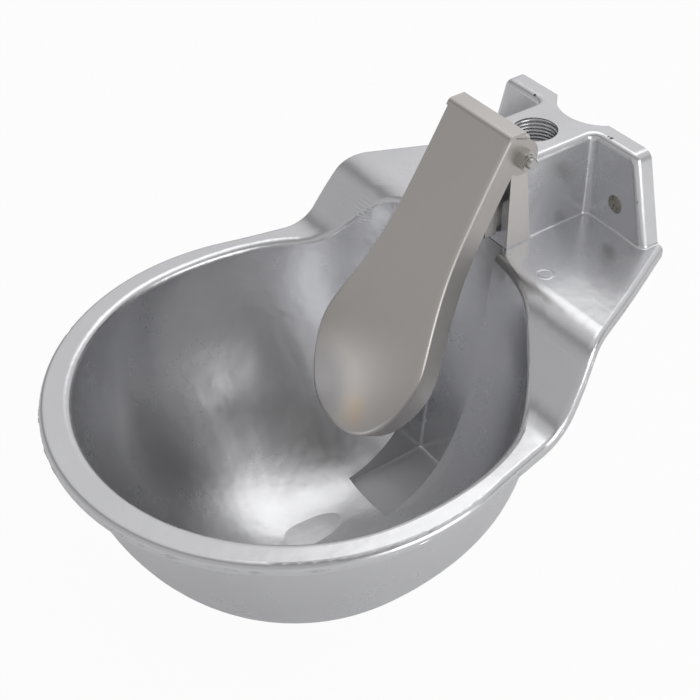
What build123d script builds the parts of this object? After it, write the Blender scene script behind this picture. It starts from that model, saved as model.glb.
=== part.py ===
from build123d import *
import math
import os

os.makedirs("parts", exist_ok=True)

# All lengths in mm. Heights are written from the top face of the rim, y = 0 is the
# wall face and the bowl reaches towards -y. place() moves the finished piece so that
# the origin is the point midway between the two wall bolts.

# rim, deck and flange
rim_r = 112.8
rim_back = -53.2
bowl_y = rim_back - rim_r
flange_t = 7.0
far = 330.0
deck_z = 36.0
deck_y = -62.0
rise_r = 18.5
rise_angle = 58.0
top_round = 2.7
under_round = 2.0
back_half = 60.2
shoulder = [(8.3, -118), (11.2, -104), (13.7, -90), (16.6, -78), (21.9, -66), (30.0, -48), (38.2, -30)]

# bowl inside and outside, measured from the bowl centre
wall_t = 5.0
rim_front = 14.6
rim_side = 12.8
rim_rear = 16.0
in_front = rim_r - rim_front
in_side = rim_r - rim_side
in_rear = rim_r - rim_rear
in_depth = 106.8
rear_draft = 0.14
out_front = in_front + wall_t
side_extra = 2.2
out_side = in_side + wall_t + side_extra
rear_extra = 1.5
out_rear = in_rear + wall_t + rear_extra
foot_extra = 1.2
out_depth = in_depth + wall_t + foot_extra
foot_z = -in_depth - wall_t
front_power = 2.07
side_power = 2.02
rear_power = 3.6
plan_power = 2.5
out_plan_power = 2.38
mouth_round = 3.4

# water slot under the valve
slot_top_half = 20.0
slot_low_half = 16.4
slot_back_top = -59.6
slot_back_low = -79.2
slot_step = 0.8
slot_floor = slot_step - in_depth
slot_front = -126.0
slot_fall = 0.8
flare_r = 4.5
flare_margin = 0.5
flare_sag = 0.36
flare_top = [(3, 0.4), (16, 0.9), (36, 1)]
flare_foot = [(81, 1), (51, 1), (26, 1), (14, 0.9), (7, 0.45), (3.5, 0.2)]
slot_round = 2.2
housing_round = 8.0

# boss, lug, wings and pipe groove
boss_top = 79.3
boss_half = 18.3
boss_join = -52.0
lug_half = 19.6
lug_front = -59.3
lug_low_rear = -44.5
lug_rear = -50.0
lug_top = 94.6
wing_t = 9.5
wing_top_half = 44.9
wing_low_half = 58.0
wing_round = 3.0
tip_round = 5.0
corner_round = 3.5
deck_round = 1.2
spine_half = 23.0
spine_low = -8.0
spine_toe = -30.0
spine_top = 30.0
cast_round = 2.5
groove_r = 21.4
groove_depth = 9.3
wall_bolt_half = 36.0
wall_bolt_z = 50.0
wall_bolt_r = 4.5

# water inlet, G 1/2 at the crest of the thread
inlet_y = -29.0
inlet_r = 10.48
inlet_deep = 18.0
inlet_low_r = 9.2

# hinge
hinge_y = -55.0
hinge_z = 84.5
hinge_bolt_r = 2.5
hinge_clear = 0.06
ear_clear = 0.10
side_gap = 0.4
seat_gap = 0.03
hex_af = 8.0
head_t = 3.5
nut_t = 4.0
collar_t = 1.0
bolt_len = 50.0
collar_r = 3.6
insert_r = 3.2
insert_t = 1.2
nut_clear = 0.04

# tongue, a pressed pan with two ears
sheet = 1.5
tongue_tilt = 30.96
tongue_top_y = -62.6
tongue_top_z = 97.3
skirt_deep = 12.0
ear_r = 8.6
lip_len = 8.6
tongue_len = 160.5
tongue_side = [(40, 22.1), (65, 23.9), (84, 27.6), (102.4, 32.8), (120, 36.4), (136, 32.8), (149, 25.2)]
neck_run = 17.0
face_round = 1.9
bend_round = 3.0

# valve
valve_z = 50.0
thread_r = 12.0
thread_clear = 0.05
chamber_rear = -18.0
hex_big_af = 27.0
hex_big_t = 6.5
washer_t = 1.5
washer_r = 15.0
barrel_rear = -42.0
front_bore = 6.0
seat_hole = 4.3
seat_y = -46.5
seat_land = 2.5
rear_bore = 9.3
stem_r = 2.95
stem_tail_r = 2.5
stem_end = -24.0
head_r = 5.0
dome_rise = 1.6
head_len = 4.0
rest_gap = 0.15
rubber_r = 6.8
rubber_t = 2.5
backing_r = 6.5
backing_t = 1.0
seal_nut_t = 2.7
cage_t = 1.5
cage_end = -27.0
cage_overlap = 3.0
cage_windows = 6
spring_wire = 0.45
spring_r = 5.55
spring_turns = 6
guide_hub = 4.2
guide_t = 3.0
slide_clear = 0.08


def place(shape):
    return Pos(0, 0, -wall_bolt_z) * shape


def save(shape, name):
    export_step(place(shape), "parts/" + name + ".step")


def cyl_z(r, z0, z1, x=0.0, y=0.0):
    return Pos(x, y, (z0 + z1) / 2) * Cylinder(r, z1 - z0)


def cyl_y(r, y0, y1, z=0.0):
    return Pos(0, (y0 + y1) / 2, z) * Rot(90, 0, 0) * Cylinder(r, y1 - y0)


def cyl_x(r, x0, x1, y=0.0, z=0.0):
    return Pos((x0 + x1) / 2, y, z) * Rot(0, 90, 0) * Cylinder(r, x1 - x0)


def box(x0, x1, y0, y1, z0, z1):
    centre = Pos((x0 + x1) / 2, (y0 + y1) / 2, (z0 + z1) / 2)
    return centre * Box(x1 - x0, y1 - y0, z1 - z0)


def flange_outline():
    start = math.radians(15.0)
    right = Vector(rim_r * math.cos(start), bowl_y + rim_r * math.sin(start))
    front = ThreePointArc((-right.X, right.Y), (0, bowl_y - rim_r), (right.X, right.Y))
    run = [(right.X, right.Y)] + [(rim_r - d, y) for d, y in shoulder] + [(back_half, 0)]
    way = (-math.sin(start), math.cos(start))
    right_side = Spline(*run, tangents=[way, (-0.42, 0.91)])
    left_side = mirror(right_side, about=Plane.YZ)
    back = Line((back_half, 0), (-back_half, 0))
    return make_face(front + right_side + left_side + back)


def rise_line(drop):
    turn_in = rise_r + drop
    turn_out = rise_r - drop
    lean = math.radians(rise_angle)
    flat_rise = 2 * rise_r * (1 - math.cos(lean))
    ramp = (deck_z - flat_rise) / math.sin(lean)
    foot_y = deck_y - 2 * rise_r * math.sin(lean) - ramp * math.cos(lean)
    flat = Line((-far, -drop), (foot_y, -drop))
    up = JernArc(start=flat @ 1, tangent=(1, 0), radius=turn_in, arc_size=rise_angle)
    slope = Line(up @ 1, up @ 1 + Vector(math.cos(lean), math.sin(lean)) * ramp)
    over = JernArc(start=slope @ 1, tangent=slope % 1, radius=turn_out, arc_size=-rise_angle)
    deck = Line(over @ 1, (20, deck_z - drop))
    return flat + up + slope + over + deck


def under_top(low):
    edge = rise_line(0)
    closing = Polyline((20, deck_z), (20, low), (-far, low), (-far, 0))
    return extrude(Plane.YZ * make_face(edge + closing), far, both=True)


def flange_slab():
    top = rise_line(0)
    low = rise_line(flange_t)
    ends = Line((20, deck_z), (20, deck_z - flange_t)) + Line((-far, 0), (-far, -flange_t))
    slab = extrude(Plane.YZ * make_face(top + low + ends), far, both=True)
    plan = flange_outline()
    return slab & extrude(Pos(0, 0, -flange_t * 2) * plan, far)


def shrink(t, power, draft=0.0):
    return (1 - draft * t) * (1 - abs(t) ** power) ** (1 / power)


def bowl_section(z, depth, front, side, rear, plan):
    t = max(-z / depth, 0.0)
    lift = max(z / depth, 0.0)
    a = side * shrink(t, side_power)
    f = front * shrink(t, front_power)
    r = rear * shrink(t, rear_power, rear_draft) * (1 + rear_draft * lift)
    points = []
    for i in range(24):
        angle = 2 * math.pi * i / 24
        c = math.cos(angle)
        s = math.sin(angle)
        power = plan if s > 0 else 2.0
        reach = r if s > 0 else f
        size = (abs(c) ** power + abs(s) ** power) ** (-1 / power)
        points.append((a * size * c, bowl_y + reach * size * s))
    return Pos(0, 0, z) * make_face(Spline(*points, periodic=True))


def bowl_solid(top, depth, front, side, rear, plan, levels):
    sections = [bowl_section(top, depth, front, side, rear, plan)]
    for level in levels:
        sections.append(bowl_section(-depth * level, depth, front, side, rear, plan))
    return loft(sections)


def bowl_outside():
    levels = [0.0, 0.15, 0.35, 0.55, 0.72, 0.85, 0.93, 0.985]
    skin = bowl_solid(deck_z, out_depth, out_front, out_side, out_rear, out_plan_power, levels)
    return skin & box(-far, far, -far, far, foot_z, far)


def bowl_inside():
    levels = [0.0, 0.15, 0.35, 0.55, 0.72, 0.85, 0.93, 0.98, 0.997]
    return bowl_solid(deck_z + 4, in_depth, in_front, in_side, in_rear, plan_power, levels)


def rise_height(y):
    lean = math.radians(rise_angle)
    arc_run = rise_r * math.sin(lean)
    arc_rise = rise_r * (1 - math.cos(lean))
    ramp_run = (deck_z - 2 * arc_rise) / math.tan(lean)
    s = y - (deck_y - 2 * arc_run - ramp_run)
    if s <= 0:
        return 0.0
    if s < arc_run:
        return rise_r - math.sqrt(rise_r ** 2 - s ** 2)
    if s < arc_run + ramp_run:
        return arc_rise + (s - arc_run) * math.tan(lean)
    if s < 2 * arc_run + ramp_run:
        back = 2 * arc_run + ramp_run - s
        return deck_z - rise_r + math.sqrt(rise_r ** 2 - back ** 2)
    return deck_z


def rim_edges(slab, upper):
    outline = flange_outline().face().outer_wire()
    chosen = []
    for edge in slab.edges():
        a, b, mid = edge @ 0, edge @ 1, edge @ 0.5
        off = max(outline.distance_to(Vertex(p.X, p.Y, 0)) for p in (a, b, mid))
        upright = math.hypot(a.X - b.X, a.Y - b.Y) < 0.01
        is_top = mid.Z > rise_height(mid.Y) - flange_t * 0.5
        if off < 0.02 and not upright and mid.Y < -0.01 and is_top == upper:
            chosen.append(edge)
    return chosen


def flange():
    slab = flange_slab()
    slab = fillet(rim_edges(slab, True), top_round)
    return fillet(rim_edges(slab, False), under_round)


def is_mouth(edge):
    for u in (0.1, 0.5, 0.9):
        p = edge @ u
        if abs(p.Z - rise_height(p.Y)) > 0.02 or math.hypot(p.X, p.Y - bowl_y) > (in_side + rim_r) / 2:
            return False
    return abs((edge @ 0).X - (edge @ 1).X) > 0.01


def bowl_and_flange():
    inside = bowl_inside()
    shell = (bowl_outside() & under_top(-150)) + flange()
    spine_side = Polyline(
        (-67, spine_toe), (-67, spine_top), (0, spine_top), (0, spine_low), (-67, spine_toe)
    )
    spine = extrude(Plane.YZ * make_face(spine_side), spine_half, both=True)
    shell = shell + spine + slot_housing() - inside
    return fillet([e for e in shell.edges() if is_mouth(e)], mouth_round)


def wings_and_boss():
    low_z = spine_top
    outline = Polyline(
        (-wing_low_half, low_z), (wing_low_half, low_z), (wing_top_half, boss_top),
        (-wing_top_half, boss_top), (-wing_low_half, low_z),
    )
    plate = extrude(Plane.XZ * make_face(outline), wing_t)
    tips = [e for e in plate.edges().filter_by(Axis.Y) if (e @ 0.5).Z > boss_top - 1]
    plate = fillet(tips, tip_round)
    block = plate + box(-boss_half, boss_half, boss_join, 0, low_z, boss_top)
    inner = [e for e in block.edges().filter_by(Axis.Z) if abs((e @ 0.5).Y + wing_t) < 0.01]
    block = fillet(inner, corner_round)
    front = [e for e in block.edges() if is_wing_front(e)]
    return fillet(front, wing_round)


def is_wing_front(edge):
    a, mid, b = edge @ 0, edge @ 0.5, edge @ 1
    if mid.Y > -0.5 or mid.Z < spine_top + 1 or mid.Y < boss_join + 0.5:
        return False
    on_top = min(a.Z, mid.Z, b.Z) > boss_top - 0.01
    on_face = max(abs(p.Y + wing_t) for p in (a, mid, b)) < 0.01
    inside = abs(a.X) < boss_half + corner_round + 0.1 and abs(b.X) < boss_half + corner_round + 0.1
    return on_top or (on_face and not inside)


def is_deck_joint(edge):
    ends = [edge @ 0, edge @ 0.5, edge @ 1]
    level = max(abs(p.Z - deck_z) for p in ends) < 0.01
    on_flange = abs(ends[1].X) > wing_low_half
    return level and ends[1].Y > lug_low_rear - 0.1 and ends[1].Y < -0.1 and not on_flange


def lug():
    side = Polyline(
        (lug_front, spine_top), (lug_front, lug_top), (lug_rear, lug_top),
        (lug_rear, boss_top - 4), (lug_low_rear, spine_top), (lug_front, spine_top),
    )
    block = extrude(Plane.YZ * make_face(side), lug_half, both=True)
    top_edges = block.edges().group_by(Axis.Z)[-1].filter_by(Axis.X)
    return fillet(top_edges, cast_round)


def slot_block(grow):
    floor = slot_floor - grow
    top = deck_z + 10
    run = deck_z - slot_floor
    lean = (slot_back_top - slot_back_low) / run
    draft = (slot_top_half - slot_low_half) / run
    back_top = slot_back_top + grow + lean * 10
    side = Polyline(
        (-90, top), (back_top, top), (slot_back_low + grow - lean * grow, floor),
        (slot_front, floor - slot_fall), (-90, top),
    )
    block = extrude(Plane.YZ * make_face(side), 40, both=True)
    upper = slot_top_half + grow + draft * 10
    lower = slot_low_half + grow - draft * (grow + 8)
    taper = Polyline((-upper, top), (-lower, floor - 8), (lower, floor - 8), (upper, top), (-upper, top))
    return block & extrude(Plane.XZ * make_face(taper), 200)


def slot_housing():
    block = slot_block(wall_t)
    rounded = []
    for edge in block.edges():
        p = edge @ 0.5
        behind = p.Y > slot_back_low + wall_t - 1 and p.Z < deck_z
        beneath = p.Z < slot_floor - wall_t + 0.01 and p.Y > slot_front + 1
        if behind or beneath:
            rounded.append(edge)
    return fillet(rounded, housing_round) & under_top(-150)


def water_slot():
    slot = slot_block(0)
    rounded = []
    for edge in slot.edges():
        p = edge @ 0.5
        on_back = p.Y > slot_back_low - 0.01 and p.Z < deck_z
        on_floor = p.Z < slot_floor + 0.01 and p.Y > slot_front + 1
        if on_back or on_floor:
            rounded.append(edge)
    return fillet(rounded, slot_round)


def rear_wall_y(z):
    t = max(-z / in_depth, 0.0)
    lift = max(z / in_depth, 0.0)
    return bowl_y + in_rear * shrink(t, rear_power, rear_draft) * (1 + rear_draft * lift)


def flare_section(z, side, part):
    share = (z - slot_floor) / (deck_z - slot_floor)
    edge_x = slot_low_half + (slot_top_half - slot_low_half) * share
    back_y = slot_back_low + (slot_back_top - slot_back_low) * share
    wall_y = rear_wall_y(z)
    reach = min(flare_r, back_y - wall_y - slot_round - flare_margin) * part
    near = (side * (edge_x - 1), wall_y - 2)
    into = (side * (edge_x - 1), wall_y + reach)
    start = (side * edge_x, wall_y + reach)
    middle = (side * (edge_x + reach * flare_sag), wall_y + reach * flare_sag)
    end = (side * (edge_x + reach), wall_y)
    past = (side * (edge_x + reach), wall_y - 2)
    curve = ThreePointArc(start, middle, end) + Polyline(end, past, near, into, start)
    return Pos(0, 0, z) * make_face(curve)


def slot_flare(side):
    levels = [(deck_z - down, part) for down, part in flare_top]
    levels = levels + [(slot_floor + up, part) for up, part in flare_foot]
    return loft([flare_section(z, side, part) for z, part in levels])


def bowl_casting():
    body = bowl_and_flange()
    body = body - water_slot() - slot_flare(1) - slot_flare(-1)
    body = body + wings_and_boss() + lug()
    body = fillet([e for e in body.edges() if is_deck_joint(e)], deck_round)
    groove_y = groove_r - groove_depth
    body = body - cyl_z(groove_r, -160, 140, 0, groove_y)
    body = body - cyl_y(thread_r, lug_front - 1, chamber_rear, valve_z)
    body = body - cyl_z(inlet_r, boss_top - inlet_deep, boss_top + 1, 0, inlet_y)
    body = body - cyl_z(inlet_low_r, valve_z, boss_top - inlet_deep, 0, inlet_y)
    body = body - cyl_x(hinge_bolt_r + hinge_clear, -40, 40, hinge_y, hinge_z)
    for side in (-1, 1):
        hole = Pos(side * wall_bolt_half, 0, 0) * cyl_y(wall_bolt_r, -20, 5, wall_bolt_z)
        body = body - hole
    return body


def tongue_plane():
    tilt = math.radians(tongue_tilt)
    return Plane(
        origin=(0, tongue_top_y, tongue_top_z), x_dir=(1, 0, 0),
        z_dir=(0, -math.cos(tilt), math.sin(tilt)),
    )


def tongue_outline(inset, above):
    half_top = lug_half + side_gap + sheet - inset
    run = [(half_top, 0)] + [(x - inset, -s) for s, x in tongue_side] + [(0, inset - tongue_len)]
    edge = Spline(*run, tangents=[(0, -1), (-1, 0)])
    top = Line((half_top, 0), (-half_top, 0))
    if above > 0:
        top = Polyline((half_top, 0), (half_top, above), (-half_top, above), (-half_top, 0))
    return make_face(edge + mirror(edge, about=Plane.YZ) + top)


def tongue():
    plane = tongue_plane()
    outer = extrude(plane * tongue_outline(0, 0), -skirt_deep)
    front = [e for e in outer.edges() if abs(plane.to_local_coords(e @ 0.5).Z) < 0.01]
    front = [e for e in front if plane.to_local_coords(e @ 0.5).Y < -1]
    outer = fillet(front, face_round)
    hollow = extrude(plane * Pos(0, 0, -sheet) * tongue_outline(sheet, 12), -skirt_deep)
    pan = outer - hollow
    half = lug_half + side_gap
    tilt = math.radians(tongue_tilt)
    along = Vector(-math.sin(tilt), -math.cos(tilt))
    back = Vector(math.cos(tilt), -math.sin(tilt))
    corner = Vector(tongue_top_y, tongue_top_z)
    hinge = Vector(hinge_y, hinge_z)
    neck = corner + along * neck_run
    inset = face_round + 0.2
    ear_side = Polyline(
        corner + back * inset + along * 0.6, hinge + Vector(0.5, 0.86) * ear_r, hinge,
        neck + back * (skirt_deep - 0.5), neck + back * inset, corner + back * inset + along * 0.6,
    )
    ear_face = make_face(ear_side) + Pos(hinge.X, hinge.Y) * Circle(ear_r)
    for side in (-1, 1):
        ear = extrude(Plane.YZ * ear_face, sheet)
        start = half if side > 0 else -half - sheet
        pan = pan + Pos(start, 0, 0) * ear
    fold = sheet / math.tan(math.radians(90 + tongue_tilt) / 2)
    lip_side = Polyline(
        corner, corner + Vector(lip_len, 0), corner + Vector(lip_len, -sheet),
        corner + Vector(fold + 1.2, -sheet), corner + along * 3.2, corner,
    )
    lip = extrude(Plane.YZ * make_face(lip_side), half + sheet, both=True)
    pan = pan + lip
    pan = pan - ridge_corner(corner, along)
    return pan - cyl_x(hinge_bolt_r + ear_clear, -40, 40, hinge_y, hinge_z)


def ridge_corner(corner, along):
    reach = bend_round / math.tan(math.radians(90 + tongue_tilt) / 2)
    on_top = corner + Vector(reach, 0)
    on_face = corner + along * reach
    centre = on_top - Vector(0, bend_round)
    middle = centre + (corner - centre).normalized() * bend_round
    bend = ThreePointArc(on_face, middle, on_top)
    outside = Polyline(on_top, corner + Vector(reach, 3), corner + Vector(-3, 3), on_face - Vector(3, 0), on_face)
    return extrude(Plane.YZ * make_face(bend + outside), 60, both=True)


def hex_x(af, x0, x1):
    sides = RegularPolygon(af / 2, 6, major_radius=False)
    return Pos(x0, hinge_y, hinge_z) * extrude(Plane.YZ * sides, x1 - x0)


def hinge_bolt():
    seat = lug_half + side_gap + sheet + seat_gap
    head = hex_x(hex_af, -seat - head_t, -seat)
    shank = cyl_x(hinge_bolt_r, -seat, -seat + bolt_len, hinge_y, hinge_z)
    tip = shank.edges().filter_by(GeomType.CIRCLE).sort_by(Axis.X)[-1]
    return head + chamfer(tip, 0.5)


def hinge_nut():
    seat = lug_half + side_gap + sheet + seat_gap
    body = hex_x(hex_af, seat, seat + nut_t)
    collar = cyl_x(collar_r, seat + nut_t, seat + nut_t + collar_t, hinge_y, hinge_z)
    body = body + collar
    body = body - cyl_x(hinge_bolt_r + nut_clear, 0, 40, hinge_y, hinge_z)
    lip_x = seat + nut_t + collar_t - 0.4
    return body - cyl_x(insert_r, lip_x - insert_t, lip_x, hinge_y, hinge_z)


def hinge_nut_insert():
    seat = lug_half + side_gap + sheet + seat_gap
    lip_x = seat + nut_t + collar_t - 0.4
    ring = cyl_x(insert_r, lip_x - insert_t, lip_x, hinge_y, hinge_z)
    return ring - cyl_x(hinge_bolt_r + nut_clear, 0, 40, hinge_y, hinge_z)


def hex_y(af, y0, y1):
    sides = RegularPolygon(af / 2, 6, major_radius=False, rotation=30)
    return Pos(0, y1, valve_z) * extrude(Plane.XZ * sides, y1 - y0)


def valve_body():
    seat = lug_front - washer_t
    body = hex_y(hex_big_af, seat - hex_big_t, seat)
    body = body + cyl_y(thread_r - thread_clear, seat, barrel_rear, valve_z)
    body = body - cyl_y(front_bore, seat - hex_big_t - 1, seat_y - seat_land, valve_z)
    body = body - cyl_y(seat_hole, seat_y - seat_land, seat_y, valve_z)
    return body - cyl_y(rear_bore, seat_y, barrel_rear + 1, valve_z)


def valve_washer():
    ring = cyl_y(washer_r - 1.7, lug_front - washer_t, lug_front, valve_z)
    return ring - cyl_y(thread_r, lug_front - 5, lug_front + 5, valve_z)


def head_tip():
    tilt = math.radians(tongue_tilt)
    dome = (head_r ** 2 + dome_rise ** 2) / (2 * dome_rise)
    face = -math.cos(tilt) * tongue_top_y + math.sin(tilt) * tongue_top_z - sheet
    centre = -(face - dome - rest_gap - math.sin(tilt) * valve_z) / math.cos(tilt)
    return centre - dome, dome


def valve_stem():
    tip, dome = head_tip()
    neck = tip + dome_rise + head_len
    ball = Pos(0, tip + dome, valve_z) * Sphere(dome)
    head = cyl_y(head_r, tip - 1, neck, valve_z)
    head = head & (ball + cyl_y(head_r, tip + dome_rise, neck, valve_z))
    shaft = cyl_y(stem_r, neck, seat_y, valve_z)
    tail = cyl_y(stem_tail_r, seat_y, stem_end, valve_z)
    return head + shaft + tail


def seat_rubber():
    disc = cyl_y(rubber_r, seat_y, seat_y + rubber_t, valve_z)
    return disc - cyl_y(stem_tail_r, seat_y - 1, seat_y + 9, valve_z)


def backing_washer():
    start = seat_y + rubber_t
    disc = cyl_y(backing_r, start, start + backing_t, valve_z)
    return disc - cyl_y(stem_tail_r, start - 1, start + 9, valve_z)


def seal_nut():
    start = seat_y + rubber_t + backing_t
    body = hex_y(hex_af, start, start + seal_nut_t)
    return body - cyl_y(stem_tail_r, start - 1, start + 9, valve_z)


def stem_guide():
    front = lug_front - washer_t - hex_big_t + 1.0
    ring = cyl_y(guide_hub, front, front + guide_t, valve_z)
    tube = cyl_y(front_bore, front, front + guide_t, valve_z)
    for i in range(3):
        leg = box(-0.9, 0.9, front, front + guide_t, 0, front_bore + 1)
        leg = Pos(0, 0, valve_z) * Rot(0, 120 * i, 0) * leg
        ring = ring + (leg & tube)
    return ring - cyl_y(stem_r + slide_clear, front - 1, front + 9, valve_z)


def spring_cage():
    front = barrel_rear - cage_overlap
    cup = cyl_y(rear_bore, front, cage_end, valve_z)
    cup = cup - cyl_y(rear_bore - cage_t, front - 1, cage_end - cage_t, valve_z)
    for i in range(cage_windows):
        slot = box(-2.4, 2.4, barrel_rear + 1, cage_end - 4, 0, rear_bore + 2)
        cup = cup - Pos(0, 0, valve_z) * Rot(0, 360 / cage_windows * i, 0) * slot
    return cup - cyl_y(stem_tail_r + slide_clear, cage_end - 5, cage_end + 1, valve_z)


def return_spring():
    start = seat_y + rubber_t + backing_t
    length = cage_end - cage_t - start - 2 * spring_wire - 2 * seat_gap
    coil = Helix(pitch=length / spring_turns, height=length, radius=spring_r)
    section = Plane(origin=coil @ 0, z_dir=coil % 0) * Circle(spring_wire)
    wire = sweep(section, path=coil)
    rear = cage_end - cage_t - seat_gap - spring_wire
    return Pos(0, rear, valve_z) * Rot(90, 0, 0) * wire


save(bowl_casting(), "bowl_casting")
save(tongue(), "tongue")
save(hinge_bolt(), "hinge_bolt")
save(hinge_nut(), "hinge_nut")
save(hinge_nut_insert(), "hinge_nut_insert")
save(valve_body(), "valve_body")
save(valve_washer(), "valve_washer")
save(stem_guide(), "stem_guide")
save(valve_stem(), "valve_stem")
save(seat_rubber(), "seat_rubber")
save(backing_washer(), "backing_washer")
save(seal_nut(), "seal_nut")
save(return_spring(), "return_spring")
save(spring_cage(), "spring_cage")
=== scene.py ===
import bpy
import bmesh
import math
from mathutils import Matrix, Vector, noise
from mathutils.bvhtree import BVHTree


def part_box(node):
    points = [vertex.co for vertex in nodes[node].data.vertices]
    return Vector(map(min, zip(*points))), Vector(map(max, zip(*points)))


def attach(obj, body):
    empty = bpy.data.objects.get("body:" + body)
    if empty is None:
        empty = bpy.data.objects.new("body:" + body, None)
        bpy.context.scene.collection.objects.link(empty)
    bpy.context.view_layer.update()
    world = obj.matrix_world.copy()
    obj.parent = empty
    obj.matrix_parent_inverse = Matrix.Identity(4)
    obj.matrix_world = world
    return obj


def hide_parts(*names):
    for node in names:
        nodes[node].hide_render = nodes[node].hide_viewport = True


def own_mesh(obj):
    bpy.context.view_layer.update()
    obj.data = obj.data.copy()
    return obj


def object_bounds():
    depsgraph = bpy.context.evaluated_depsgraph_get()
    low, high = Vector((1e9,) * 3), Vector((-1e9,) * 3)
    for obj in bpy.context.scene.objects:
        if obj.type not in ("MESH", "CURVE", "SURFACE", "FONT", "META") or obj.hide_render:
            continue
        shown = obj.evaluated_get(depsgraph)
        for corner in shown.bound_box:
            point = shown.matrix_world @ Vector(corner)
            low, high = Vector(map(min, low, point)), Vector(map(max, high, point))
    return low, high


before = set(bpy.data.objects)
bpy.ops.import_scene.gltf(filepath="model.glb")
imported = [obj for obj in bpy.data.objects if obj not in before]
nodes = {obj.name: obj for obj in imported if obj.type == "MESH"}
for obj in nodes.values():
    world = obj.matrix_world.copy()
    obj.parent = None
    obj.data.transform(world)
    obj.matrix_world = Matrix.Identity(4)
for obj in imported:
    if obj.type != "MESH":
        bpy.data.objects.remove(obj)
cadLow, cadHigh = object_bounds()
print("frame loaded:", len(nodes), "solids")


class Wire:
    # a socket that takes part in ordinary sums
    def __init__(self, paint, socket):
        self.paint = paint
        self.socket = socket

    def maths(self, kind, *values):
        return self.paint.add("ShaderNodeMath", {"operation": kind}, values)

    def __add__(self, other):
        return self.maths("ADD", self, other)

    def __radd__(self, other):
        return self.maths("ADD", other, self)

    def __sub__(self, other):
        return self.maths("SUBTRACT", self, other)

    def __rsub__(self, other):
        return self.maths("SUBTRACT", other, self)

    def __mul__(self, other):
        return self.maths("MULTIPLY", self, other)

    def __rmul__(self, other):
        return self.maths("MULTIPLY", other, self)

    def size(self):
        return self.maths("ABSOLUTE", self)

    def above(self, edge, soft):
        # 0 below the edge, 1 above it, with a soft step between
        return self.paint.add("ShaderNodeMapRange", {"interpolation_type": "SMOOTHSTEP"},
                              {"Value": self, "From Min": edge - soft, "From Max": edge + soft})


class Paint:
    # adds nodes to one tree
    def __init__(self, tree):
        self.tree = tree

    def add(self, kind, settings, values, out=0):
        # settings go on the node first, then the values or wires of its sockets
        node = self.tree.nodes.new(kind)
        for name, value in settings.items():
            if name == "stops":
                self.stops(node.color_ramp, value)
            else:
                setattr(node, name, value)
        pairs = values.items() if isinstance(values, dict) else enumerate(values)
        for name, value in pairs:
            self.put(node.inputs[name], value)
        return Wire(self, node.outputs[out])

    def stops(self, ramp, stops):
        while len(ramp.elements) < len(stops):
            ramp.elements.new(0.5)
        for element, (at, grey) in zip(ramp.elements, stops):
            element.position = at
            element.color = (grey, grey, grey, 1)

    def put(self, socket, value):
        if isinstance(value, Wire):
            self.tree.links.new(value.socket, socket)
        else:
            socket.default_value = value

    def mix(self, factor, first, second, blend="MIX"):
        # sockets 6 and 7 take the two colours, and output 2 gives their mix
        return self.add("ShaderNodeMix", {"data_type": "RGBA", "blend_type": blend},
                        {"Factor": factor, 6: first, 7: second}, 2)


class Finish(Paint):
    # one material, with its own shader and the place of each point on the object
    def __init__(self, name, colour, metal, gloss):
        self.material = bpy.data.materials.new(name)
        self.material.use_nodes = True
        super().__init__(self.material.node_tree)
        self.shader = self.tree.nodes["Principled BSDF"]
        self.feed("Base Color", (*colour[:3], 1))
        self.feed("Metallic", metal)
        self.feed("Roughness", gloss)
        self.place = self.add("ShaderNodeTexCoord", {}, {}, "Object")
        self.relief = None

    def feed(self, name, value):
        self.put(self.shader.inputs[name], value)

    def stretch(self, x, y, z):
        return self.add("ShaderNodeMapping", {}, {"Vector": self.place, "Scale": (x, y, z)})

    def noise(self, scale, detail, at=None):
        return self.add("ShaderNodeTexNoise", {},
                        {"Vector": at or self.place, "Scale": scale, "Detail": detail})

    def axis(self, name):
        return self.add("ShaderNodeSeparateXYZ", {}, {0: self.place}, name)

    def gap(self, point):
        # how far the surface lies from a point
        return self.add("ShaderNodeVectorMath", {"operation": "DISTANCE"}, [self.place, point], "Value")

    def near(self, point, reach, soft):
        # 1 at a point of the surface, fading to 0 past its reach
        return 1 - self.gap(point).above(reach, soft)

    def bump(self, height, depth, strength):
        # each relief is laid over the one before it
        values = {"Height": height, "Distance": depth, "Strength": strength}
        if self.relief is not None:
            values["Normal"] = self.relief
        self.relief = self.add("ShaderNodeBump", {}, values, "Normal")
        self.feed("Normal", self.relief)

    def wear(self, *names):
        for name in names:
            mesh = nodes[name].data
            mesh.materials.clear()
            mesh.materials.append(self.material)


# a cloud, streak or grain is its scale and detail, and an edge is its place and softness
castLook = {
    "bright": (0.80, 0.803, 0.82, 1), "dull": (0.69, 0.693, 0.71, 1), "metal": 0.93,
    "cloud": (20, 4), "cloudShare": 0.7, "streak": (60, 3), "streakShare": 0.3, "streakRun": 0.25,
    "gloss": 0.2, "glossSpread": 0.12, "glossCloud": (45, 4),
    "nick": (0.1, 0.1, 0.1, 1),
    "nicks": [((-0.0245, -0.0082, 0.0288), 0.0007), ((0.0262, -0.0066, 0.0293), 0.0009),
              ((0.0245, -0.0068, 0.0293), 0.0005), ((0.049, -0.0091, 0.008), 0.0004)],
    "reliefs": [(55, 2, 0.0006), (170, 1, 0.0002)], "reliefStrength": 0.35,
}
lugLook = {"milled": (0.76, 0.735, 0.71, 1), "dulled": 0.3, "inner": (0.0193, 0.0002),
           "outer": (0.0205, 0.0003), "back": (-0.0455, 0.0002), "foot": (-0.013, 0.0004)}
holeLook = {"cored": (0.5, 0.48, 0.44, 1), "dulled": 0.5, "metalLost": 0.5, "side": 0.036, "radius": 0.0047,
            "squareSoft": 0.000002, "end": (-0.0094, 0.0002), "speck": (700, 2), "speckEdge": (0.6, 0.1)}
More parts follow.
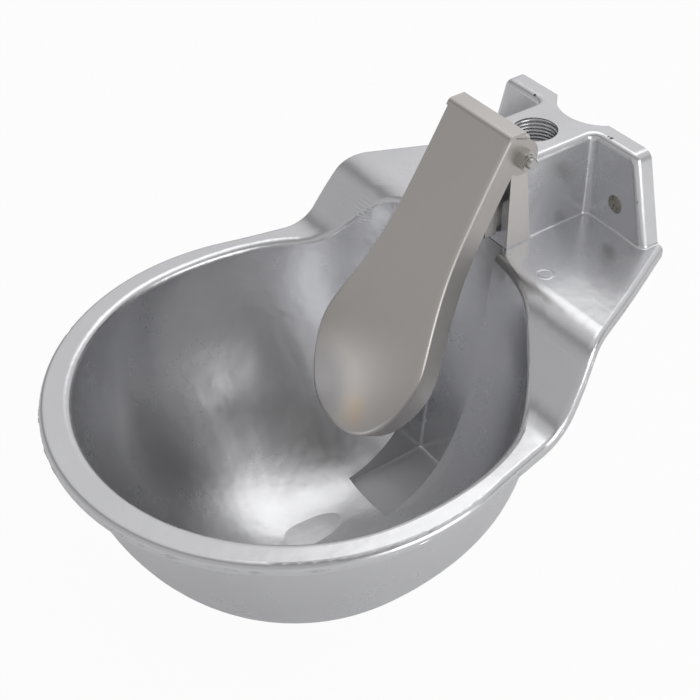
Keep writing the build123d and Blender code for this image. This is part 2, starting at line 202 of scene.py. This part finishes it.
slotLook = {"sanded": (0.8, 0.8, 0.81, 1), "dulled": 0.18, "metalLost": 0.6, "floor": (-0.1553, 0.0003),
            "half": (0.0168, 0.0006), "front": (-0.128, 0.002)}
ringLook = {"at": (0.044, -0.0572, -0.014), "radius": 0.0031, "wide": 0.0008, "soft": 0.0003,
            "depth": 0.0002, "strength": 0.6}
rippleLook = {"at": (-0.0634, -0.081, -0.029), "reach": 0.006, "soft": 0.002, "scale": 170, "bend": 1.5,
              "depth": 0.0002, "strength": 0.5}


def milledSides(x, y, z):
    # the two machined sides of the pivot lug
    side = x.size().above(*lugLook["inner"]) * (1 - y.above(*lugLook["back"]))
    return side * z.above(*lugLook["foot"]) * (1 - x.size().above(*lugLook["outer"]))


def coredHoles(x, y, z):
    # the rough bores of the two fixing holes
    across = x.size() - holeLook["side"]
    bore = 1 - (across * across + z * z).above(holeLook["radius"] ** 2, holeLook["squareSoft"])
    return bore * y.above(*holeLook["end"])


def sandedSlot(x, y, z):
    # the floor of the water slot
    floor = (1 - z.above(*slotLook["floor"])) * (1 - x.size().above(*slotLook["half"]))
    return floor * y.above(*slotLook["front"])


def castFinish():
    cast = Finish("castAluminium", castLook["bright"], castLook["metal"], castLook["gloss"])
    x, y, z = cast.axis("X"), cast.axis("Y"), cast.axis("Z")
    cloud = cast.noise(*castLook["cloud"])
    streak = cast.noise(*castLook["streak"], cast.stretch(1, 1, castLook["streakRun"]))
    share = cloud * castLook["cloudShare"] + streak * castLook["streakShare"]
    lug, holes, slot = milledSides(x, y, z), coredHoles(x, y, z), sandedSlot(x, y, z)
    specks = cast.noise(*holeLook["speck"]).above(*holeLook["speckEdge"])
    colour = cast.mix(share, castLook["dull"], castLook["bright"])
    colour = cast.mix(lug, colour, lugLook["milled"])
    colour = cast.mix(holes, colour, cast.mix(specks, holeLook["cored"], castLook["nick"]))
    colour = cast.mix(slot, colour, slotLook["sanded"])
    for point, reach in castLook["nicks"]:
        colour = cast.mix(cast.near(point, reach, reach / 2), colour, castLook["nick"])
    cast.feed("Base Color", colour)
    gloss = castLook["gloss"] + castLook["glossSpread"] * cast.noise(*castLook["glossCloud"])
    gloss = gloss + lug * lugLook["dulled"] + holes * holeLook["dulled"] + slot * slotLook["dulled"]
    cast.feed("Roughness", gloss)
    cast.feed("Metallic", castLook["metal"] - holeLook["metalLost"] * holes - slotLook["metalLost"] * slot)
    castRelief(cast)
    return cast


def castRelief(cast):
    # sand texture, a faint ring on the deck and a few ripples on the left slope
    for scale, detail, depth in castLook["reliefs"]:
        cast.bump(cast.noise(scale, detail), depth, castLook["reliefStrength"])
    gap = cast.gap(ringLook["at"])
    ring = gap.above(ringLook["radius"], ringLook["soft"])
    ring = ring * (1 - gap.above(ringLook["radius"] + ringLook["wide"], ringLook["soft"]))
    cast.bump(ring, ringLook["depth"], ringLook["strength"])
    wave = cast.add("ShaderNodeTexWave", {"bands_direction": "Z"},
                    {"Vector": cast.place, "Scale": rippleLook["scale"], "Distortion": rippleLook["bend"]})
    patch = cast.near(rippleLook["at"], rippleLook["reach"], rippleLook["soft"])
    cast.bump(wave * patch, rippleLook["depth"], rippleLook["strength"])


steelLook = {
    "colour": (0.63, 0.605, 0.575, 1), "shade": (0.575, 0.55, 0.52, 1), "cloud": (18, 3),
    "gloss": 0.3, "glossSpread": 0.1,
    "grain": (160, 4), "grainRun": 14, "grainDepth": 0.00002, "grainStrength": 0.4,
    "fine": (1200, 2), "fineDepth": 0.00002, "fineStrength": 0.3,
    # the warm and the dark patch below are painted reflections on the tongue's lower end, not marks of the
    # sheet
    "warm": (0.72, 0.6, 0.47, 1), "warmAt": (0.009, -0.138, -0.079), "warmReach": 0.007, "warmSoft": 0.006,
    "warmShare": 0.8,
    "dark": (0.36, 0.35, 0.345, 1), "darkAt": (-0.017, -0.139, -0.08), "darkReach": 0.016, "darkSoft": 0.009,
    "darkShare": 0.9,
}


def steelFinish():
    # drawn sheet with its grain across, and a warm and a dark patch of painted reflection near the lower end
    steel = Finish("stainlessSheet", steelLook["colour"], 1.0, steelLook["gloss"])
    grain = steel.noise(*steelLook["grain"], steel.stretch(steelLook["grainRun"], 1, 1))
    colour = steel.mix(steel.noise(*steelLook["cloud"]), steelLook["shade"], steelLook["colour"])
    # mixes a warm and a dark patch of painted reflection into the base colour
    for patch in ("warm", "dark"):
        paintedReflectionSpot = steel.near(steelLook[patch + "At"], steelLook[patch + "Reach"], steelLook[patch + "Soft"])
        colour = steel.mix(paintedReflectionSpot * steelLook[patch + "Share"], colour, steelLook[patch])
    steel.feed("Base Color", colour)
    steel.feed("Roughness", steelLook["gloss"] + steelLook["glossSpread"] * grain)
    steel.bump(grain, steelLook["grainDepth"], steelLook["grainStrength"])
    steel.bump(steel.noise(*steelLook["fine"]), steelLook["fineDepth"], steelLook["fineStrength"])
    return steel


castPaint = castFinish()
castPaint.wear("bowl_casting")
steelFinish().wear("tongue")
print("main finishes made")

grainLook = {"detail": 3, "glossSpread": 0.12, "depth": 0.00003, "strength": 0.4}
smallLooks = [
    {"name": "fastenerSteel", "colour": (0.68, 0.665, 0.64, 1), "shade": (0.52, 0.51, 0.49, 1), "metal": 1.0,
     "gloss": 0.2, "grain": 1500,
     "on": ["hinge_bolt", "hinge_nut", "valve_stem", "backing_washer", "seal_nut"]},
    {"name": "nylonRing", "colour": (0.72, 0.74, 0.76, 1), "shade": (0.6, 0.62, 0.65, 1), "metal": 0.0,
     "gloss": 0.45, "grain": 900, "on": ["hinge_nut_insert"]},
    {"name": "valveSteel", "colour": (0.6, 0.585, 0.56, 1), "shade": (0.46, 0.45, 0.43, 1), "metal": 1.0,
     "gloss": 0.3, "grain": 900, "on": ["valve_body"]},
    {"name": "fibreWasher", "colour": (0.36, 0.35, 0.33, 1), "shade": (0.25, 0.245, 0.23, 1), "metal": 0.0,
     "gloss": 0.75, "grain": 1800, "on": ["valve_washer"]},
    {"name": "sealRubber", "colour": (0.03, 0.03, 0.032, 1), "shade": (0.018, 0.018, 0.02, 1), "metal": 0.0,
     "gloss": 0.6, "grain": 1600, "on": ["seat_rubber"]},
    {"name": "springSteel", "colour": (0.55, 0.55, 0.54, 1), "shade": (0.4, 0.4, 0.4, 1), "metal": 1.0,
     "gloss": 0.24, "grain": 1600, "on": ["return_spring"]},
    {"name": "cagePlastic", "colour": (0.8, 0.81, 0.8, 1), "shade": (0.7, 0.71, 0.7, 1), "metal": 0.0,
     "gloss": 0.42, "grain": 700, "on": ["spring_cage", "stem_guide"]},
]


def smallFinish(look):
    finish = Finish(look["name"], look["colour"], look["metal"], look["gloss"])
    grain = finish.noise(look["grain"], grainLook["detail"])
    finish.feed("Base Color", finish.mix(grain, look["shade"], look["colour"]))
    finish.feed("Roughness", look["gloss"] + grainLook["glossSpread"] * grain)
    finish.bump(grain, grainLook["depth"], grainLook["strength"])
    finish.wear(*look["on"])
    return finish.material


smallMaterials = {look["name"]: smallFinish(look) for look in smallLooks}
print("small finishes made:", len(smallMaterials))


def addPiece(name, shape, material, body):
    # turns a finished shape into a piece that rides on a body
    mesh = bpy.data.meshes.new(name)
    shape.to_mesh(mesh)
    shape.free()
    mesh.materials.append(material)
    piece = bpy.data.objects.new(name, mesh)
    bpy.context.scene.collection.objects.link(piece)
    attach(piece, body)
    return piece


def ridge(name, path, material, body):
    # a strip whose every row is base, crest, base
    shape = bmesh.new()
    rows = [[shape.verts.new(point) for point in row] for row in path]
    for one, two in zip(rows, rows[1:]):
        for a, b, c, d in ((one[0], one[1], two[1], two[0]), (one[1], one[2], two[2], two[1])):
            shape.faces.new((a, b, c, d)).smooth = True
    bmesh.ops.recalc_face_normals(shape, faces=shape.faces)
    return addPiece(name, shape, material, body)


boltLow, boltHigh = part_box("hinge_bolt")
threadLook = {"half": 0.44, "fadeIn": 0.6, "fadeOut": 0.3}  # half in pitches, the fades in turns
inletLook = {"centre": -0.029, "start": 0.0285, "length": 0.0158, "pitch": 0.001814, "root": 0.01052,
             "crest": 0.00938, "round": 72}
tipLook = {"y": (boltLow.y + boltHigh.y) / 2, "z": (boltLow.z + boltHigh.z) / 2,
           "start": boltHigh.x - 0.00042, "length": 0.00135, "pitch": 0.0008, "root": 0.00247,
           "crest": 0.00268, "round": 40}


def inletPoint(radius, turn, run):
    return radius * math.cos(turn), inletLook["centre"] + radius * math.sin(turn), run


def tipPoint(radius, turn, run):
    return run, tipLook["y"] + radius * math.cos(turn), tipLook["z"] + radius * math.sin(turn)


def helix(look, place):
    steps = int(look["length"] / look["pitch"] * look["round"])
    half = look["pitch"] * threadLook["half"]
    path = []
    for i in range(steps + 1):
        turn = 2 * math.pi * i / look["round"]
        fade = min(1.0, i / (look["round"] * threadLook["fadeIn"]),
                   (steps - i) / (look["round"] * threadLook["fadeOut"]))
        crest = look["root"] + (look["crest"] - look["root"]) * fade
        run = look["start"] - look["pitch"] * i / look["round"]
        path.append([place(look["root"], turn, run + half), place(crest, turn, run),
                     place(look["root"], turn, run - half)])
    return path


ridge("inlet_thread", helix(inletLook, inletPoint), castPaint.material, "bowl")
ridge("bolt_thread", helix(tipLook, tipPoint), smallMaterials["fastenerSteel"], "bowl")
print("threads made")

flashLook = {
    "centre": (0, -0.13, 0), "from": -154, "to": 154, "count": 1100,
    "rimTop": -0.05, "below": 0.0035, "inset": 0.004, "tries": 3, "settled": 0.00005, "wallGap": 0.001,
    "outside": 0.4, "overhead": 0.1,
    "half": 0.0005, "sunk": 0.00003, "least": 0.00018, "most": 0.0006,
    "coarse": 160, "fine": 700, "fineShare": 0.5, "wave": 0.0004, "waveScale": 90,
}
upward = Vector((0, 0, 1))


def rimPoint(tree, out, level):
    # the rim's outside in one direction, a set way below its top, whose height is found again there
    for attempt in range(flashLook["tries"]):
        start = Vector(flashLook["centre"]) + out * flashLook["outside"]
        start.z = level - flashLook["below"]
        hit, normal = tree.ray_cast(start, -out)[:2]
        if hit is None:
            break
        over = hit - out * flashLook["inset"]
        over.z = flashLook["overhead"]
        top = tree.ray_cast(over, -upward)[0]
        if top is None or abs(top.z - level) < flashLook["settled"]:
            break
        level = top.z
    return hit, normal, level


def flashRow(hit, normal):
    # base, crest, base across the parting line, kept inside the solids' own box
    fine = flashLook["fineShare"] * noise.noise(hit * flashLook["fine"])
    wobble = noise.noise(hit * flashLook["coarse"]) + fine
    tall = flashLook["least"] + max(0.0, wobble) * flashLook["most"]
    flat = Vector((normal.x, normal.y, 0)).normalized()
    middle = hit + upward * (flashLook["wave"] * noise.noise(hit * flashLook["waveScale"]))
    base = middle - flat * flashLook["sunk"]
    half = upward * flashLook["half"]
    return [Vector([max(low, min(high, value)) for value, low, high in zip(point, cadLow, cadHigh)])
            for point in (base + half, middle + flat * tall, base - half)]


def flashPath():
    # walks round the rim at the height where the mould halves met
    mesh = nodes["bowl_casting"].data
    tree = BVHTree.FromPolygons([v.co for v in mesh.vertices], [p.vertices for p in mesh.polygons])
    level = flashLook["rimTop"]
    sweep = flashLook["to"] - flashLook["from"]
    path = []
    for i in range(flashLook["count"] + 1):
        turn = math.radians(flashLook["from"] + sweep * i / flashLook["count"])
        hit, normal, level = rimPoint(tree, Vector((math.sin(turn), -math.cos(turn), 0)), level)
        if hit is not None and hit.y <= -flashLook["wallGap"]:
            path.append(flashRow(hit, normal))
    return path


ridge("casting_flash", flashPath(), castPaint.material, "bowl")
print("parting line made")


def closingSpring():
    # the same coil as the solid, copied into a piece with a mesh of its own
    shape = bmesh.new()
    shape.from_mesh(nodes["return_spring"].data)
    spring = addPiece("closing_spring", shape, smallMaterials["springSteel"], "bowl")
    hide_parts("return_spring")
    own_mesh(spring)


closingSpring()
print("spring made")

floorLook = {"size": 6.0, "colour": (0.84, 0.84, 0.84, 1), "gloss": 0.9, "gap": 0.0002, "glow": 0.95,
             "mirroredGlow": 0.12}


def layFloor():
    # a pale sheet under the foot, white to the camera and only a little of that to the metal
    half = floorLook["size"] / 2
    level = cadLow.z - floorLook["gap"]
    mesh = bpy.data.meshes.new("studioFloor")
    mesh.from_pydata([(-half, -half, level), (half, -half, level), (half, half, level), (-half, half, level)],
                     [], [(0, 1, 2, 3)])
    floor = bpy.data.objects.new("studioFloor", mesh)
    bpy.context.scene.collection.objects.link(floor)
    paper = Finish("floorPaper", floorLook["colour"], 0.0, floorLook["gloss"])
    mesh.materials.append(paper.material)
    glow = paper.add("ShaderNodeEmission", {}, {"Color": (1, 1, 1, 1), "Strength": 1.0}, "Emission")
    direct = paper.add("ShaderNodeLightPath", {}, {}, "Is Camera Ray")
    mirrored = paper.add("ShaderNodeLightPath", {}, {}, "Is Glossy Ray")
    share = direct * floorLook["glow"] + mirrored * floorLook["mirroredGlow"]
    plain = Wire(paper, paper.shader.outputs["BSDF"])
    both = paper.add("ShaderNodeMixShader", {}, {0: share, 1: plain, 2: glow}, "Shader")
    paper.put(paper.tree.nodes["Material Output"].inputs["Surface"], both)


lampLooks = [
    {"name": "topSoftbox", "at": (-0.25, 0.35, 0.9), "aim": (0, -0.14, -0.08), "size": 0.7, "power": 1.3},
    {"name": "rightSoftbox", "at": (1.1, 0.2, 0.25), "aim": (0, -0.14, -0.08), "size": 0.8, "power": 3.4},
]


def hangLamp(look):
    lamp = bpy.data.lights.new(look["name"], "AREA")
    lamp.size = look["size"]
    lamp.energy = look["power"]
    light = bpy.data.objects.new(look["name"], lamp)
    light.location = look["at"]
    light.rotation_mode = "QUATERNION"
    light.rotation_quaternion = (Vector(look["aim"]) - Vector(look["at"])).to_track_quat("-Z", "Y")
    bpy.context.scene.collection.objects.link(light)


airLook = {
    "tint": (1.0, 0.995, 1.01, 1), "axis": (-0.3, 0.6, 0.74),
    "levels": [(0.3, 0.52), (0.55, 0.44), (0.69, 0.22), (0.78, 0.52), (0.88, 0.68), (1.0, 0.7)],
}


def lightAir():
    # grey levels along one leaning axis light the object, and the camera sees plain white
    world = bpy.data.worlds.new("studioAir")
    bpy.context.scene.world = world
    world.use_nodes = True
    air = Paint(world.node_tree)
    place = air.add("ShaderNodeTexCoord", {}, {}, "Generated")
    lean = air.add("ShaderNodeVectorMath", {"operation": "DOT_PRODUCT"}, [place, airLook["axis"]], "Value")
    level = air.add("ShaderNodeValToRGB", {"stops": airLook["levels"]}, {0: lean * 0.5 + 0.5})
    tinted = air.mix(1.0, level, airLook["tint"], "MULTIPLY")
    soft = air.add("ShaderNodeBackground", {}, {"Color": tinted, "Strength": 1.0}, "Background")
    white = air.add("ShaderNodeBackground", {}, {"Color": (1, 1, 1, 1), "Strength": 1.0}, "Background")
    direct = air.add("ShaderNodeLightPath", {}, {}, "Is Camera Ray")
    both = air.add("ShaderNodeMixShader", {}, {0: direct, 1: soft, 2: white}, "Shader")
    air.put(world.node_tree.nodes["World Output"].inputs["Surface"], both)


layFloor()
for look in lampLooks:
    hangLamp(look)
lightAir()
print("stage and lights made")

cameraLook = {"at": (0.40266, -0.40372, 0.35682), "aim": (0.00034, -0.1339, -0.05021), "roll": -1.37,
              "lens": 70.63, "sensor": 36, "nearest": 0.01}


def placeCamera():
    data = bpy.data.cameras.new("camera")
    data.lens = cameraLook["lens"]
    data.sensor_width = cameraLook["sensor"]
    data.clip_start = cameraLook["nearest"]
    camera = bpy.data.objects.new("camera", data)
    bpy.context.scene.collection.objects.link(camera)
    place = Vector(cameraLook["at"])
    back = (place - Vector(cameraLook["aim"])).normalized()
    side = (-back).cross(upward).normalized()
    rise = side.cross(-back)
    roll = math.radians(cameraLook["roll"])
    right = side * math.cos(roll) + rise * math.sin(roll)
    top = rise * math.cos(roll) - side * math.sin(roll)
    camera.matrix_world = Matrix.Translation(place) @ Matrix((right, top, back)).transposed().to_4x4()
    bpy.context.scene.camera = camera


placeCamera()
bpy.context.scene.view_settings.view_transform = "Standard"
